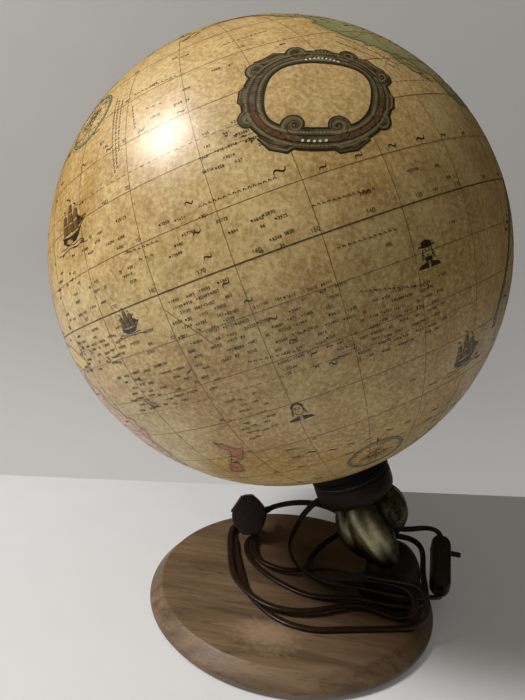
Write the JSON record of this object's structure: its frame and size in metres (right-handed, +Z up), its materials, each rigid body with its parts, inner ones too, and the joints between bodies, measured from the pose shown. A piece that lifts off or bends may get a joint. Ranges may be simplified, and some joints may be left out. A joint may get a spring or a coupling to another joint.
{
  "type": "illuminated terrestrial globe",
  "caption": "Table globe, 300 mm, lit from inside, turning on a tilted tube held by an ornamental arm on a round wooden base, with its flat cord, push-bar switch and plug looped over the base.",
  "frame": {"origin": "middle of the round base's underside, on the table", "axes": "+Z up, the globe's axis lies in the XZ plane with its north end leaning towards -X and its foot towards +X, and the front is -Y"},
  "size_m": [0.3051, 0.3, 0.3969],
  "materials": {
    "walnut": "satin lacquer, worn",
    "felt": "matt",
    "zinc_steel": "satin",
    "bronzed_iron": "satin",
    "antiqued_metal": "aged, worn bright on its high places",
    "brass_tube": "plain",
    "black_rubber": "matt",
    "bronzed_cup": "satin",
    "brass_fittings": "plain",
    "nylon": "natural",
    "black_moulding": "gloss",
    "printed_map": "varnished print",
    "cream_strap": "matt",
    "dark_phenolic": "satin",
    "bulb_cap": "rolled",
    "bulb_glass": "frosted",
    "brown_cord": "satin",
    "dark_moulding": "satin",
    "brown_moulding": "satin",
    "plated_pins": "dull nickel"
  },
  "bodies": {
    "stand": {"wooden_base": "walnut", "base_felt": "felt", "base_screws": "zinc_steel", "foot": "bronzed_iron", "arm_casting": "antiqued_metal", "lamp_tube": "brass_tube", "arm_grommet": "black_rubber", "cup": "bronzed_cup", "cup_washer": "zinc_steel", "cup_nut": "brass_fittings", "slide_washer": "nylon", "top_washer": "zinc_steel", "top_nut": "brass_fittings", "holder_cap": "dark_phenolic", "holder_body": "dark_phenolic", "holder_shell": "brass_fittings", "holder_contact": "brass_fittings", "bulb_cap": "bulb_cap", "bulb_glass": "bulb_glass", "inner_lead": "brown_cord", "cord_to_switch": "brown_cord", "switch_lower": "dark_moulding", "switch_upper": "dark_moulding", "switch_screws": "zinc_steel", "cord_to_plug": "brown_cord", "plug_body": "brown_moulding", "plug_pins": "plated_pins"},
    "globe": {"neck_ring": "black_moulding", "neck_bush": "nylon", "neck_clamp": "black_moulding", "neck_screws": "zinc_steel", "lower_hemisphere": "printed_map", "upper_hemisphere": "printed_map", "equator_strap": "cream_strap"},
    "push_bar": {"switch_bar": "dark_moulding"}
  },
  "joints": [
    {"name": "globe_spin", "type": "hinge", "parent": "stand", "child": "globe", "pos_m": [-0.02627, 0, 0.24691], "axis": [-0.3987, 0, 0.9171], "continuous": true},
    {"name": "switch_push", "type": "slide", "parent": "stand", "child": "push_bar", "axis": [-0.993, 0.1184, 0], "range_m": [0, 0.007]}
  ]
}
